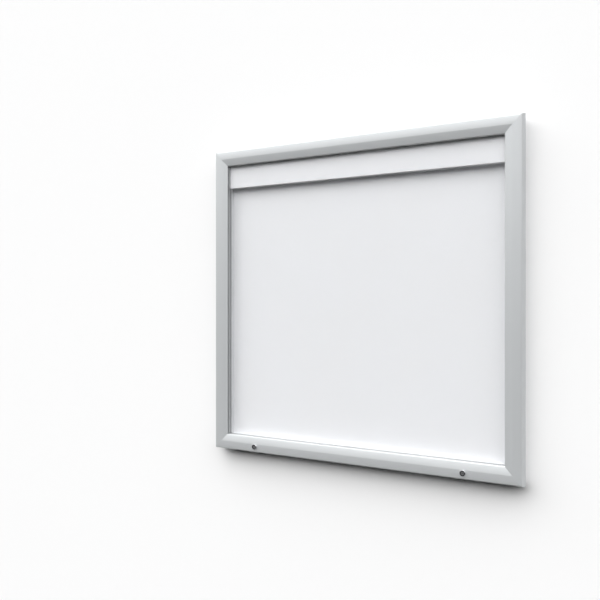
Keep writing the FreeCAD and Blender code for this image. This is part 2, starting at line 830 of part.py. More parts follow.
# Hinge
def knuckles(body, tab_low, tab_high, first, count):
    """Tabs and knuckles in a row, bored for the pin. first is the number of the first knuckle."""
    start = -hinge_length / 2 + knuckle_pitch * first + knuckle_gap / 2
    axis = (-hinge_depth, hinge_height)
    tab = new_sketch(body, "YZ_Plane", start)
    rectangle(tab, tab_low, tab_high)
    tab_pad = pad(body, tab, knuckle_pitch - knuckle_gap)
    barrel = new_sketch(body, "YZ_Plane", start)
    circle(barrel, axis, knuckle_radius)
    barrel_pad = pad(body, barrel, knuckle_pitch - knuckle_gap)
    repeat(body, [tab_pad, barrel_pad], "X_Axis", knuckle_pitch * 2, count)
    bore = new_sketch(body, "YZ_Plane")
    circle(bore, axis, pin_radius + running_clearance)
    body.Tip = pocket(body, bore)


def case_leaf():
    """Lies on top of the case, with its knuckles in front."""
    body = new_body("hinge_leaf_case")
    top_of_case = half_height - case_inset
    front = hinge_depth - knuckle_radius - leaf_relief
    plate = new_sketch(body, "YZ_Plane")
    rectangle(plate, (-front, top_of_case), (case_leaf_width - front, top_of_case + leaf_thickness))
    pad(body, plate, hinge_length - knuckle_gap, symmetric=True)
    knuckles(body, (-hinge_depth, top_of_case), (-front, top_of_case + leaf_thickness), 0, CASE_KNUCKLES)
    holes = new_sketch(body, "XY_Plane", top_of_case)
    for place, _ in hinge_screw_places(0):
        screw_hole(holes, (place, -case_screw_depth))
    pocket(body, holes)


def door_leaf():
    """Folded: a top strip from the knuckles, and a plate down the back of the door."""
    body = new_body("hinge_leaf_door")
    top = hinge_height + knuckle_radius
    back = hinge_depth + knuckle_radius + leaf_relief
    plate = new_sketch(body, "YZ_Plane")
    outline(plate, [
        (-back, top),
        (-door_back, top),
        (-door_back, half_height - door_leaf_drop),
        (leaf_thickness - door_back, half_height - door_leaf_drop),
        (leaf_thickness - door_back, top - leaf_thickness),
        (-back, top - leaf_thickness),
    ])
    pad(body, plate, hinge_length - knuckle_gap, symmetric=True)
    knuckles(body, (-back, top - leaf_thickness), (-hinge_depth, top), 1, DOOR_KNUCKLES)
    holes = new_sketch(body, "XZ_Plane")
    for place, _ in hinge_screw_places(0):
        screw_hole(holes, (place, half_height - hinge_screw_inset))
    pocket(body, holes)


def hinge_pin():
    body = new_body("hinge_pin")
    sketch = new_sketch(body, "YZ_Plane")
    circle(sketch, (-hinge_depth, hinge_height), pin_radius)
    pad(body, sketch, hinge_length - knuckle_gap, symmetric=True)


case_leaf()
door_leaf()
hinge_pin()


# Small screws: a six-sided head on a plain shank, one separate solid for each seat
def screw_group(label, direction, seats, head_way, reach=screw_length):
    """seats are (x, y, z) under the head; head_way is +1 or -1 along the direction."""
    body = new_body(label)
    role = {"Y": "XZ_Plane", "Z": "XY_Plane"}[direction]
    # The XZ plane faces the front, so a depth there counts along -Y.
    for x, y, z in seats:
        across = (x, z) if direction == "Y" else (x, y)
        level = -length(y) if direction == "Y" else length(z)
        head = new_sketch(body, role, level)
        hexagon(head, across, screw_head_radius)
        head_pad = pad(body, head, screw_head_height)
        head_pad.Reversed = head_way < 0
        shank = new_sketch(body, role, level)
        hexagon(shank, across, screw_radius)
        shank_pad = pad(body, shank, reach)
        shank_pad.Reversed = head_way > 0
    return body


leaf_top = half_height - case_inset + leaf_thickness
screw_group("hinge_screws_case", "Z",
            [(place, -case_screw_depth, leaf_top) for place, _ in hinge_screw_places(0)], 1)
screw_group("hinge_screws_door", "Y",
            [(place, leaf_thickness - door_back, half_height - hinge_screw_inset)
             for place, _ in hinge_screw_places(0)], -1)


# Locks
def lock_pieces(name, way):
    """One cam lock. The cam points towards the middle of the board when the lock is open."""
    centre = (way * lock_side, lock_height)

    housing = new_body(f"lock_housing_{name}")
    barrel = new_sketch(housing, "XZ_Plane", lock_barrel_back)
    circle(barrel, centre, lock_barrel_radius)
    pad(housing, barrel, lock_seat_depth - lock_barrel_back)
    head = new_sketch(housing, "XZ_Plane", lock_seat_depth)
    circle(head, centre, lock_head_radius)
    pad(housing, head, head_front - lock_seat_depth)
    bevel_front(housing, head_front, lock_head_bevel)
    bore = new_sketch(housing, "XZ_Plane")
    circle(bore, centre, plug_radius + running_clearance)
    pocket(housing, bore)

    nut = new_body(f"lock_nut_{name}")
    ring = new_sketch(nut, "XZ_Plane", door_back - nut_thickness)
    hexagon(ring, centre, nut_flats / math.sqrt(3))
    circle(ring, centre, lock_barrel_radius)
    pad(nut, ring, nut_thickness)

    plug = new_body(f"lock_plug_{name}")
    core = new_sketch(plug, "XZ_Plane", plug_back)
    circle(core, centre, plug_radius)
    pad(plug, core, head_front - plug_recess - plug_back)
    half_square = cam_square / 2
    drive = new_sketch(plug, "XZ_Plane", plug_back - cam_thickness)
    rectangle(drive, (centre[0] - half_square, centre[1] - half_square),
              (centre[0] + half_square, centre[1] + half_square))
    pad(plug, drive, cam_thickness)
    keyway = new_sketch(plug, "XZ_Plane", head_front - plug_recess)
    rectangle(keyway, (centre[0] - keyway_height / 2, centre[1] - keyway_width / 2),
              (centre[0] + keyway_height / 2, centre[1] + keyway_width / 2))
    pocket(plug, keyway, keyway_depth)
    tapped = new_sketch(plug, "XZ_Plane", plug_back - cam_thickness)
    hexagon(tapped, centre, cam_screw_radius)
    pocket(plug, tapped, cam_screw_length, reversed_way=True)

    cam = new_body(f"lock_cam_{name}")
    shape = new_sketch(cam, "XZ_Plane", plug_back - cam_thickness)
    tip = centre[0] - way * cam_length
    root = centre[0]
    half_tip = cam_tip / 2
    outline(shape, [
        (root, centre[1] + cam_radius),
        (tip, centre[1] + half_tip),
        (tip, centre[1] - half_tip),
        (root, centre[1] - cam_radius),
    ], {3: (root + way * cam_radius, centre[1])})
    rectangle(shape, (centre[0] - half_square, centre[1] - half_square),
              (centre[0] + half_square, centre[1] + half_square))
    pad(cam, shape, cam_thickness)

    screw = new_body(f"cam_screw_{name}")
    screw_seat = plug_back - cam_thickness
    cap = new_sketch(screw, "XZ_Plane", screw_seat - screw_head_height)
    hexagon(cap, centre, cam_screw_head)
    pad(screw, cap, screw_head_height)
    stem = new_sketch(screw, "XZ_Plane", screw_seat)
    hexagon(stem, centre, cam_screw_radius)
    pad(screw, stem, cam_screw_length)

    keeper = new_body(f"lock_keeper_{name}")
    angle = new_sketch(keeper, "YZ_Plane", centre[0] - keeper_length / 2)
    wall_face = rail_width - case_wall - half_height
    under_ledge = case_depth - seal_ledge_thickness
    outline(angle, [
        (-gutter_floor, wall_face),
        (-under_ledge, wall_face),
        (-under_ledge, wall_face - bracket_sheet - keeper_reach),
        (bracket_sheet - under_ledge, wall_face - bracket_sheet - keeper_reach),
        (bracket_sheet - under_ledge, wall_face - bracket_sheet),
        (-gutter_floor, wall_face - bracket_sheet),
    ])
    pad(keeper, angle, keeper_length)
    holes = new_sketch(keeper, "XY_Plane", wall_face)
    for step in (-1, 1):
        screw_hole(holes, (centre[0] + step * keeper_length / 4, -keeper_screw_depth))
    pocket(keeper, holes)


lock_pieces("left", -1)
lock_pieces("right", 1)


# Door stays
def stay_pieces(name, way):
    """Arm, pivot, slider, bracket and slotted track at one side. way is -1 at the left."""
    def across(inset):
        return way * (half_width - inset)

    def grow(body, sketch, thickness):
        """Pad a sketch towards the middle of the board."""
        feature = pad(body, sketch, thickness)
        feature.Reversed = way > 0
        return feature

    def bore(body, centre, radius):
        sketch = new_sketch(body, "YZ_Plane")
        circle(sketch, centre, radius)
        pocket(body, sketch)

    pivot = (-hinge_depth, pivot_height)
    slider = (-hinge_depth, slider_height)

    arm = new_body(f"stay_arm_{name}")
    sketch = new_sketch(arm, "YZ_Plane", across(stay_arm_inset))
    slot(sketch, -hinge_depth, slider_height, pivot_height, stay_arm_width / 2)
    grow(arm, sketch, stay_arm_thickness)
    bore(arm, pivot, stay_pin_radius + running_clearance)

    rod = new_body(f"stay_slider_{name}")
    head_inset = track_inset - stay_bracket_gap - slider_head_height
    sketch = new_sketch(rod, "YZ_Plane", across(head_inset))
    circle(sketch, slider, slider_head)
    grow(rod, sketch, slider_head_height)
    sketch = new_sketch(rod, "YZ_Plane", across(head_inset + slider_head_height))
    circle(sketch, slider, slider_radius)
    grow(rod, sketch, stay_arm_inset - head_inset - slider_head_height)

    pin = new_body(f"stay_pivot_{name}")
    sketch = new_sketch(pin, "YZ_Plane", across(stay_arm_inset))
    circle(sketch, pivot, stay_pin_radius)
    grow(pin, sketch, stay_arm_thickness + stay_bracket_gap + track_sheet)
    sketch = new_sketch(pin, "YZ_Plane", across(tab_inset + track_sheet))
    hexagon(sketch, pivot, stay_pin_head)
    grow(pin, sketch, stay_pin_head_height)

    bracket = new_body(f"stay_bracket_{name}")
    half_tab = stay_bracket_tab / 2
    sketch = new_sketch(bracket, "YZ_Plane", across(tab_inset))
    outline(sketch, [
        (-door_back, pivot_height - half_tab),
        (-door_back, pivot_height + half_tab),
        (-hinge_depth, pivot_height + stay_arm_width / 2),
        (-hinge_depth, pivot_height - stay_arm_width / 2),
    ], {2: (stay_arm_width / 2 - hinge_depth, pivot_height)})
    grow(bracket, sketch, track_sheet)
    sketch = new_sketch(bracket, "YZ_Plane", across(tab_inset))
    rectangle(sketch, (-door_back, pivot_height - stay_bracket_height / 2),
              (bracket_sheet - door_back, pivot_height + stay_bracket_height / 2))
    grow(bracket, sketch, track_sheet + stay_bracket_foot)
    bore(bracket, pivot, stay_pin_radius)
    sketch = new_sketch(bracket, "XZ_Plane")
    for height in bracket_screw_heights():
        screw_hole(sketch, (across(bracket_screw_inset), height))
    pocket(bracket, sketch)

    track = new_body(f"stay_track_{name}")
    sketch = new_sketch(track, "YZ_Plane", across(track_inset))
    rectangle(sketch, (-case_depth, track_low), (-gutter_floor, track_high))
    grow(track, sketch, track_sheet)
    sketch = new_sketch(track, "YZ_Plane", across(track_inset))
    rectangle(sketch, (-gutter_floor - track_foot_sheet, track_low), (-gutter_floor, track_high))
    grow(track, sketch, track_sheet + track_foot)
    sketch = new_sketch(track, "YZ_Plane")
    slot(sketch, -hinge_depth, slider_height - slot_overrun, slider_top + slot_overrun,
         slider_radius + slot_clearance)
    pocket(track, sketch)
    sketch = new_sketch(track, "XZ_Plane")
    for height in track_screw_heights:
        screw_hole(sketch, (across(track_screw_line), height))
    pocket(track, sketch)


stay_pieces("left", -1)
stay_pieces("right", 1)

screw_group("keeper_screws", "Z",
            [(place, -keeper_screw_depth, rail_width - case_wall - bracket_sheet - half_height)
             for place in keeper_screw_places()], -1, keeper_screw_end + bracket_sheet + case_wall - rail_width)
screw_group("stay_track_screws", "Y",
            [(way * (half_width - track_screw_line), -gutter_floor - track_foot_sheet, height)
             for way in (-1, 1) for height in track_screw_heights], 1, track_foot_sheet + case_web)
screw_group("stay_bracket_screws", "Y",
            [(way * (half_width - bracket_screw_inset), bracket_sheet - door_back, height)
             for way in (-1, 1) for height in bracket_screw_heights()], -1)


doc.recompute()


def report_faults():
    """Stop if any object of the document failed or any sub-part is not one sound shape."""
    faults = [thing.Name for thing in doc.Objects
              if any(word in thing.State for word in ("Invalid", "Error"))]
    faults += [body.Label for body in sub_parts if body.Shape.isNull() or not body.Shape.isValid()]
    if faults:
        raise SystemExit(f"failed objects: {faults}")


report_faults()
os.makedirs("parts", exist_ok=True)
for body in sub_parts:
    body.Shape.exportStep(f"parts/{body.Label}.step")
    box = body.Shape.BoundBox
    print(f"{body.Label:24s} solids {len(body.Shape.Solids)} volume {body.Shape.Volume:10.1f} "
          f"x {box.XMin:.1f} {box.XMax:.1f} y {box.YMin:.1f} {box.YMax:.1f} z {box.ZMin:.1f} {box.ZMax:.1f}")
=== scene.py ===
"""Looks of the lockable notice board: satin aluminium rails, white panels, clear sheet, locks and screws.

Frame: metres, X to the right, Z up, the wall at y = 0 and the door towards -Y.
A depth is a distance in front of the wall, so a point at that depth has y = -depth.
"""
import math

import bmesh
import bpy
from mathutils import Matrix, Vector


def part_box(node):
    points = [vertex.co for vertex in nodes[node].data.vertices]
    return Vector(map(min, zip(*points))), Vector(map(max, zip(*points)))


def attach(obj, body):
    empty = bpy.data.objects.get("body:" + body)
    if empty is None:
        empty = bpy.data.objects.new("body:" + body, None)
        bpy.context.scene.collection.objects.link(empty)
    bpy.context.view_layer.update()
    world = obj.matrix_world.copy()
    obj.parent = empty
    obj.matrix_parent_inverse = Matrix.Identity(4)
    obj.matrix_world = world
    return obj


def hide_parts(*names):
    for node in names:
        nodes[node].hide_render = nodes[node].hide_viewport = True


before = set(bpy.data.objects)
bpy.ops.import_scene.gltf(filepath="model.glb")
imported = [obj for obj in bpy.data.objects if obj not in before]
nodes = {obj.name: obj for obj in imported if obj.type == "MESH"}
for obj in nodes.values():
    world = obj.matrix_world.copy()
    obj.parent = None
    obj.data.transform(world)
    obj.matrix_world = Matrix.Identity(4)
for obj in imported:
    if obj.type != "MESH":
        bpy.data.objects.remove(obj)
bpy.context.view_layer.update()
MM = 0.001


# Materials. Scales are in features per metre, depths in metres.
NOISE_RANGE = (0.3, 0.7)
DIE_LINES, DIE_LINE_DEPTH = 900.0, 0.0000015
METAL_CLOUDS, ENAMEL_CLOUDS = 9.0, 6.0
ORANGE_PEEL, ORANGE_PEEL_DEPTH = 420.0, 0.000004
BRUSHING, BRUSHING_DEPTH = 1500.0, 0.000004
STAINS = 60.0
RUBBER_GRAIN, RUBBER_GRAIN_DEPTH = 700.0, 0.00002
BOARD_FIBRES, BOARD_FIBRE_DEPTH = 260.0, 0.00006
PLASTER = 40.0
EASED_EDGE = 0.15 * MM
# How a pattern is drawn out along a rail or a small part that runs this way
GRAIN = {"x": (0.012, 1.0, 1.0), "z": (1.0, 1.0, 0.012)}
SHORT_GRAIN = {"x": (0.06, 1.0, 1.0), "z": (1.0, 1.0, 0.06)}


def new_material(name):
    """A node material with one Principled shader. Gives the material, its tree and the shader."""
    material = bpy.data.materials.new(name)
    material.use_nodes = True
    tree = material.node_tree
    shader = tree.nodes["Principled BSDF"]
    return material, tree, shader


def link(tree, out_socket, in_socket):
    """Join two sockets of one tree."""
    tree.links.new(out_socket, in_socket)


def noise(tree, scale, detail, stretch=(1.0, 1.0, 1.0)):
    """Noise on the piece's own coordinates. A small stretch value draws the pattern out along that axis."""
    place = tree.nodes.new("ShaderNodeTexCoord")
    mapping = tree.nodes.new("ShaderNodeMapping")
    mapping.inputs["Scale"].default_value = stretch
    texture = tree.nodes.new("ShaderNodeTexNoise")
    texture.inputs["Scale"].default_value = scale
    texture.inputs["Detail"].default_value = detail
    link(tree, place.outputs["Object"], mapping.inputs["Vector"])
    link(tree, mapping.outputs["Vector"], texture.inputs["Vector"])
    return texture.outputs["Fac"]


def between(tree, factor, low, high):
    """A number that runs from low to high over the usual range of a noise."""
    ramp = tree.nodes.new("ShaderNodeMapRange")
    ramp.inputs["From Min"].default_value = NOISE_RANGE[0]
    ramp.inputs["From Max"].default_value = NOISE_RANGE[1]
    ramp.inputs["To Min"].default_value = low
    ramp.inputs["To Max"].default_value = high
    link(tree, factor, ramp.inputs["Value"])
    return ramp.outputs["Result"]


def tinted(tree, factor, first, second):
    """A colour that runs from first to second with the factor."""
    mix = tree.nodes.new("ShaderNodeMix")
    mix.data_type = "RGBA"
    mix.inputs["A"].default_value = (*first, 1.0)
    mix.inputs["B"].default_value = (*second, 1.0)
    link(tree, factor, mix.inputs["Factor"])
    return mix.outputs["Result"]


def dimmed(tone, share):
    """The same colour at a share of its brightness."""
    return tuple(channel * share for channel in tone)


def roughen(tree, shader, height, depth, radius=None):
    """Bump from a height pattern, with optional rounding of sharp edges."""
    bump = tree.nodes.new("ShaderNodeBump")
    bump.inputs["Distance"].default_value = depth
    link(tree, height, bump.inputs["Height"])
    if radius:
        bevel = tree.nodes.new("ShaderNodeBevel")
        bevel.inputs["Radius"].default_value = radius
        link(tree, bevel.outputs["Normal"], bump.inputs["Normal"])
    link(tree, bump.outputs["Normal"], shader.inputs["Normal"])


def aluminium(name, along, tone, roughness, metallic=0.55):
    """Satin anodised extrusion: fine die lines along its length over a soft cloudy tone."""
    material, tree, shader = new_material(name)
    shader.inputs["Metallic"].default_value = metallic
    lines = noise(tree, DIE_LINES, 3.0, GRAIN[along])
    clouds = noise(tree, METAL_CLOUDS, 3.0)
    tint = tinted(tree, between(tree, clouds, 0.0, 1.0), dimmed(tone, 0.985), tone)
    link(tree, tint, shader.inputs["Base Color"])
    link(tree, between(tree, lines, roughness - 0.02, roughness + 0.025), shader.inputs["Roughness"])
    roughen(tree, shader, lines, DIE_LINE_DEPTH)
    return material


def enamel(name, tone):
    """White enamelled steel: a smooth coat with the faintest orange peel."""
    material, tree, shader = new_material(name)
    clouds = noise(tree, ENAMEL_CLOUDS, 2.0)
    peel = noise(tree, ORANGE_PEEL, 2.0)
    warmer = (tone[0], tone[1] * 0.997, tone[2] * 0.992)
    link(tree, tinted(tree, between(tree, clouds, 0.0, 1.0), tone, warmer), shader.inputs["Base Color"])
    link(tree, between(tree, peel, 0.36, 0.42), shader.inputs["Roughness"])
    shader.inputs["Specular IOR Level"].default_value = 0.35
    roughen(tree, shader, peel, ORANGE_PEEL_DEPTH)
    return material


def steel(name, tone, roughness, grain="x"):
    """Bright stainless steel with a short brushed grain."""
    material, tree, shader = new_material(name)
    shader.inputs["Metallic"].default_value = 1.0
    brushed = noise(tree, BRUSHING, 4.0, SHORT_GRAIN[grain])
    stain = noise(tree, STAINS, 4.0)
    tint = tinted(tree, between(tree, stain, 0.0, 1.0), dimmed(tone, 0.9), tone)
    link(tree, tint, shader.inputs["Base Color"])
    link(tree, between(tree, brushed, roughness - 0.06, roughness + 0.08), shader.inputs["Roughness"])
    roughen(tree, shader, brushed, BRUSHING_DEPTH, EASED_EDGE)
    return material


# Where the painted highlight round a lock head's rim starts and is full, as shares of the head's width from
# its axis,
# and where that axis stands in the head's box
HIGHLIGHT_RIM = (0.452, 0.49)
HEAD_AXIS = (0.5, 0.0, 0.5)


def lock_steel(name, face, rim, roughness):
    """Dark nickel on a turned head, with a brighter metal tone painted round its rim as a painted
    highlight.
    """
    material, tree, shader = new_material(name)
    shader.inputs["Metallic"].default_value = 1.0
    place = tree.nodes.new("ShaderNodeTexCoord")
    split = tree.nodes.new("ShaderNodeSeparateXYZ")
    centred = tree.nodes.new("ShaderNodeCombineXYZ")
    radius = tree.nodes.new("ShaderNodeVectorMath")
    radius.operation = "DISTANCE"
    radius.inputs[1].default_value = HEAD_AXIS
    # Painted highlight: a mask by distance from the head's axis that gives the rim a brighter metal tone
    # than the face
    rim_highlight = tree.nodes.new("ShaderNodeMapRange")
    rim_highlight.inputs["From Min"].default_value = HIGHLIGHT_RIM[0]
    rim_highlight.inputs["From Max"].default_value = HIGHLIGHT_RIM[1]
    link(tree, place.outputs["Generated"], split.inputs["Vector"])
    link(tree, split.outputs["X"], centred.inputs["X"])
    link(tree, split.outputs["Z"], centred.inputs["Z"])
    link(tree, centred.outputs["Vector"], radius.inputs[0])
    link(tree, radius.outputs["Value"], rim_highlight.inputs["Value"])
    link(tree, tinted(tree, rim_highlight.outputs["Result"], face, rim), shader.inputs["Base Color"])
    brushed = noise(tree, BRUSHING, 4.0, SHORT_GRAIN["x"])
    link(tree, between(tree, brushed, roughness - 0.04, roughness + 0.06), shader.inputs["Roughness"])
    roughen(tree, shader, brushed, BRUSHING_DEPTH)
    return material


def rubber(name, dark, pale):
    """Matt rubber with a fine grain between two tones."""
    material, tree, shader = new_material(name)
    grain = noise(tree, RUBBER_GRAIN, 5.0)
    link(tree, tinted(tree, between(tree, grain, 0.0, 1.0), dark, pale), shader.inputs["Base Color"])
    link(tree, between(tree, grain, 0.6, 0.8), shader.inputs["Roughness"])
    roughen(tree, shader, grain, RUBBER_GRAIN_DEPTH)
    return material


def board(name):
    """Grey fibre board: speckled and matt."""
    material, tree, shader = new_material(name)
    fibres = noise(tree, BOARD_FIBRES, 8.0, (0.35, 1.0, 1.0))
    link(tree, tinted(tree, between(tree, fibres, 0.0, 1.0), (0.33, 0.33, 0.32), (0.47, 0.47, 0.46)),
         shader.inputs["Base Color"])
    link(tree, between(tree, fibres, 0.75, 0.92), shader.inputs["Roughness"])
    roughen(tree, shader, fibres, BOARD_FIBRE_DEPTH)
    return material


SHEET_TINT = (0.986, 0.988, 0.990, 1.0)
SHEET_ROUGHNESS, SHEET_IOR = 0.02, 1.38


def clear_sheet(name):
    """Thin clear polycarbonate: light goes straight through, and a grazing view mirrors more.

    A face that a ray meets from inside the sheet doesn't mirror.
    """
    material, tree, shader = new_material(name)
    tree.nodes.remove(shader)
    through = tree.nodes.new("ShaderNodeBsdfTransparent")
    through.inputs["Color"].default_value = SHEET_TINT
    mirror = tree.nodes.new("ShaderNodeBsdfGlossy")
    mirror.inputs["Roughness"].default_value = SHEET_ROUGHNESS
    share = tree.nodes.new("ShaderNodeFresnel")
    share.inputs["IOR"].default_value = SHEET_IOR
    mix = tree.nodes.new("ShaderNodeMixShader")
    facing = tree.nodes.new("ShaderNodeNewGeometry")
    outside = tree.nodes.new("ShaderNodeMix")
    outside.inputs["B"].default_value = 0.0
    link(tree, facing.outputs["Backfacing"], outside.inputs["Factor"])
    link(tree, share.outputs["Fac"], outside.inputs["A"])
    link(tree, outside.outputs["Result"], mix.inputs["Fac"])
    link(tree, through.outputs["BSDF"], mix.inputs[1])
    link(tree, mirror.outputs["BSDF"], mix.inputs[2])
    link(tree, mix.outputs["Shader"], tree.nodes["Material Output"].inputs["Surface"])
    return material


WAYS = ("x", "z")
rail_metal = {way: aluminium(f"anodised_{way}", way, (0.497, 0.512, 0.521), 0.3) for way in WAYS}
case_metal = {way: aluminium(f"case_{way}", way, (0.71, 0.72, 0.73), 0.42, 0.2) for way in WAYS}
bead_metal = {way: aluminium(f"bead_{way}", way, (0.47, 0.475, 0.48), 0.38) for way in WAYS}
plain_metal = aluminium("plain_z", "z", (0.56, 0.57, 0.58), 0.42)
white = enamel("white_enamel", (0.822, 0.826, 0.842))
bright_steel = {way: steel(f"steel_{way}", (0.56, 0.56, 0.57), 0.3, way) for way in WAYS}
# The second tone is a painted highlight: a brighter metal tone round the lock head's rim
lock_metal = lock_steel("lock_metal", (0.07, 0.07, 0.074), (0.70, 0.70, 0.71), 0.13)
plug_metal = steel("plug_metal", (0.19, 0.19, 0.195), 0.32)
black_rubber = rubber("black_rubber", (0.018, 0.018, 0.02), (0.035, 0.035, 0.037))
grey_rubber = rubber("grey_rubber", (0.22, 0.225, 0.23), (0.30, 0.305, 0.31))
grey_board = board("grey_board")
clear = clear_sheet("clear_sheet")


def finish_of(name):
    """The finish of a node that keeps its own mesh."""
    way = "z" if name.endswith(("_left", "_right")) else "x"
    if name == "glazing":
        return clear
    if name == "glazing_gasket":
        return grey_rubber
    if name == "weather_seal":
        return black_rubber
    if name in ("display_panel", "header_panel"):
        return white
    if name == "backing_board":
        return grey_board
    if name.startswith("glazing_bead"):
        return bead_metal[way]
    if name.startswith("case_rail"):
        return case_metal[way]
    if name.startswith("door_rail"):
        return rail_metal[way]
    if name.startswith(("stay_track", "header_brackets", "case_corner", "door_corner")):
        return plain_metal
    if name.startswith("lock_housing"):
        return lock_metal
    if name.startswith("lock_plug"):
        return plug_metal
    return bright_steel["z" if name.startswith("stay") else "x"]


for name, node in nodes.items():
    node.data.materials.clear()
    node.data.materials.append(finish_of(name))


# Meshes
SHARP = math.radians(24)


def middle(low, high):
    """The number, or the point, halfway between two."""
    return (low + high) / 2


def band(working, first, second):
    """Faces between two closed rings that have the same number of vertices."""
    count = len(first)
    for step in range(count):
        turn = (step + 1) % count
        working.faces.new((first[step], first[turn], second[turn], second[step]))


def piece_from(name, mesh_maker, material, body, slot, *replaced):
    """Fill a new mesh, shade it smooth up to its sharp edges, and let it stand for CAD nodes."""
    mesh = bpy.data.meshes.new(name)
    working = bmesh.new()
    mesh_maker(working)
    bmesh.ops.recalc_face_normals(working, faces=working.faces)
    working.to_mesh(mesh)
    working.free()
    for polygon in mesh.polygons:
        polygon.use_smooth = True
    mesh.set_sharp_from_angle(angle=SHARP)
    mesh.materials.append(material)
    piece = bpy.data.objects.new(name, mesh)
    bpy.context.scene.collection.objects.link(piece)
    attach(piece, body)
    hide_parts(*replaced)


def crowned(start, finish, rise, steps=14):
    """Points from start up to, but not with, finish, on an arc that stands rise above the chord."""
    start, finish = Vector(start), Vector(finish)
    chord = finish - start
    across = Vector((-chord.y, chord.x)).normalized()
    points = []
    for step in range(steps):
        share = step / steps
        points.append(start + chord * share + across * (rise * 4 * share * (1 - share)))
    return points


def soften(points, corner, radius, steps):
    """Replace a corner of a closed outline by a round of this radius, whatever lies beside it."""
    count = len(points)
    place = min(range(count), key=lambda number: (points[number] - Vector(corner)).length)
    centre = points[place]
    before = (points[place - 1] - centre).normalized()
    after = (points[(place + 1) % count] - centre).normalized()
    half = before.angle(after) / 2
    reach = radius / math.tan(half)
    hub = centre + (before + after).normalized() * (radius / math.sin(half))
    first, last = centre + before * reach, centre + after * reach
    start = math.atan2(first.y - hub.y, first.x - hub.x)
    turn = math.atan2(last.y - hub.y, last.x - hub.x) - start
    turn = (turn + math.pi) % (2 * math.pi) - math.pi
    angles = [start + turn * step / steps for step in range(steps + 1)]
    arc = [hub + radius * Vector((math.cos(angle), math.sin(angle))) for angle in angles]
    low, high = place, place
    while (points[(low - 1) % count] - centre).length < reach:
        low -= 1
    while (points[(high + 1) % count] - centre).length < reach:
        high += 1
    kept = [points[(high + 1 + number) % count] for number in range(count - (high - low) - 1)]
    return kept + arc


# Door rail section, inset from the flank and depth from the wall
rail_low, rail_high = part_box("door_rail_left")
RAIL_WIDTH = rail_high.x - rail_low.x
DOOR_BACK = -rail_high.y
RIDGE_DEPTH = -rail_low.y
HALF_WIDTH = -rail_low.x
HALF_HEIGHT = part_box("door_rail_top")[1].z
# Insets, and drops below the ridge, of the section's corners
FLANK_WIDTH, ARRIS_DROP = 4.0 * MM, 0.8 * MM
RIDGE_INSET = 22.0 * MM
NOSE_WIDTH, NOSE_DROP, EDGE_DROP = 1.2 * MM, 3.55 * MM, 4.7 * MM
ARRIS = (FLANK_WIDTH, RIDGE_DEPTH - ARRIS_DROP)
RIDGE = (RIDGE_INSET, RIDGE_DEPTH)
NOSE = (RAIL_WIDTH - NOSE_WIDTH, RIDGE_DEPTH - NOSE_DROP)
INNER_EDGE = (RAIL_WIDTH, RIDGE_DEPTH - EDGE_DROP)
BACK_CORNER = (0.0, DOOR_BACK)
# How far the middle of each side stands out from its chord
FLANK_CROWN, FACET_CROWN, BEVEL_CROWN = 1.05 * MM, 0.34 * MM, 0.26 * MM
LIP_BACK = -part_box("glazing_gasket")[0].y
REBATE = 26.0 * MM
MITRE_GAP = 0.03 * MM
# Corner, radius and steps of each round
RAIL_ROUNDS = [(ARRIS, 2.4 * MM, 12), (RIDGE, 1.2 * MM, 6), (NOSE, 1.0 * MM, 8), (INNER_EDGE, 0.45 * MM, 5),
               (BACK_CORNER, 0.4 * MM, 4)]


def door_rail_section():
    """The closed outline of a door rail as (inset, depth) points."""
    outline = [Vector((REBATE, DOOR_BACK))]
    outline += crowned(BACK_CORNER, ARRIS, FLANK_CROWN)
    outline += crowned(ARRIS, RIDGE, FACET_CROWN)
    outline += crowned(RIDGE, NOSE, BEVEL_CROWN)
    outline += [Vector(point) for point in (NOSE, INNER_EDGE, (RAIL_WIDTH, LIP_BACK), (REBATE, LIP_BACK))]
    for corner, radius, steps in RAIL_ROUNDS:
        outline = soften(outline, corner, radius, steps)
    return outline


def rail_mesh(section, half_length, place):
    """A mitred length of a section. place turns (along, inset, depth) into a point."""
    def fill(working):
        rings = []
        for way in (-1, 1):
            ring = []
            for inset, depth in section:
                along = way * (half_length - inset - MITRE_GAP)
                ring.append(working.verts.new(place(along, inset, depth)))
            rings.append(ring)
        band(working, *rings)
        for ring in rings:
            working.faces.new(ring)
    return fill


RAILS = {
    "top": ("x", HALF_WIDTH, lambda along, inset, depth: (along, -depth, HALF_HEIGHT - inset)),
    "bottom": ("x", HALF_WIDTH, lambda along, inset, depth: (along, -depth, inset - HALF_HEIGHT)),
    "left": ("z", HALF_HEIGHT, lambda along, inset, depth: (inset - HALF_WIDTH, -depth, along)),
    "right": ("z", HALF_HEIGHT, lambda along, inset, depth: (HALF_WIDTH - inset, -depth, along)),
}
for side, (way, half_length, place) in RAILS.items():
    piece_from(f"rail_face_{side}", rail_mesh(door_rail_section(), half_length, place),
               rail_metal[way], "door", "anodised_aluminium", f"door_rail_{side}")


# Glazing beads: a channel with an eased edge towards the opening
BEAD_WALL = 1.4 * MM
BEAD_FRONT = -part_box("glazing")[1].y
BEAD_LIP = RAIL_WIDTH - 2.5 * MM
# Depths of the back and front of the tongue that clips into the rail, and the inset of its end
TONGUE = (DOOR_BACK + 2.5 * MM, DOOR_BACK + 3.7 * MM)
TONGUE_END = HALF_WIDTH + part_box("glazing_bead_left")[0].x
CHANNEL_EDGE = REBATE + 0.1 * MM
BEAD_ROUNDS = [((RAIL_WIDTH, BEAD_FRONT), 1.1 * MM, 6), ((RAIL_WIDTH, DOOR_BACK), 0.6 * MM, 4)]


